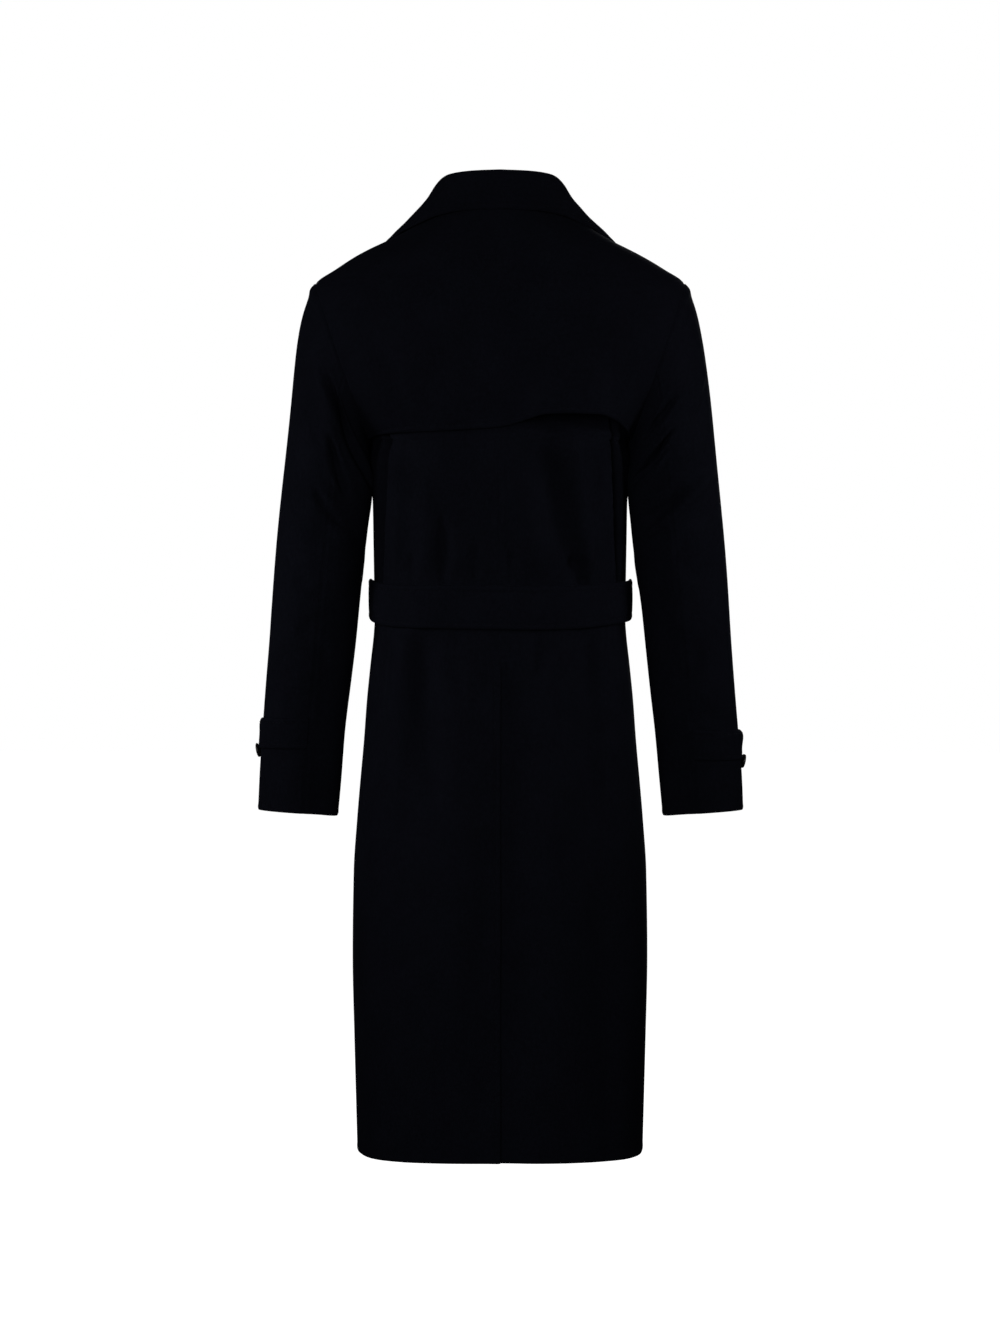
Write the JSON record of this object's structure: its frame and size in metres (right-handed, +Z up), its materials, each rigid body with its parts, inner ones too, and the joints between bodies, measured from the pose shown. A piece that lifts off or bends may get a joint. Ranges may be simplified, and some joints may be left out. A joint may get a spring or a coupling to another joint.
{
  "type": "belted double-breasted coat",
  "caption": "Long belted double-breasted wool coat, filled out as worn, with turned-down collar, back storm flap, set-in sleeves with cuff straps and a back vent.",
  "frame": {"origin": "middle of the neck, level with the foot of the collar, where the wearer's neck holds the coat up", "axes": "+Z up along the wearer, -Y out of the coat's front, +X to the wearer's left"},
  "size_m": [0.605, 0.2815, 1.1771],
  "materials": {
    "wool": "matt napped wool",
    "button": "polished dark horn-look resin",
    "buckle": "satin dark leather cover"
  },
  "bodies": {
    "root": {"back_left": "wool", "back_right": "wool", "storm_flap": "wool", "front_left": "wool", "front_right": "wool", "lapel_left": "wool", "lapel_right": "wool", "collar_fall": "wool", "collar_stand": "wool", "sleeve_top_left": "wool", "sleeve_top_right": "wool", "sleeve_under_left": "wool", "sleeve_under_right": "wool", "belt": "wool", "cuff_strap_left": "wool", "cuff_strap_right": "wool", "cuff_button_left": "button", "cuff_button_right": "button", "front_button_1": "button", "front_button_2": "button", "front_button_3": "button", "front_button_4": "button", "front_button_5": "button", "front_button_6": "button", "buckle_frame": "buckle", "buckle_prong": "buckle"}
  },
  "joints": []
}
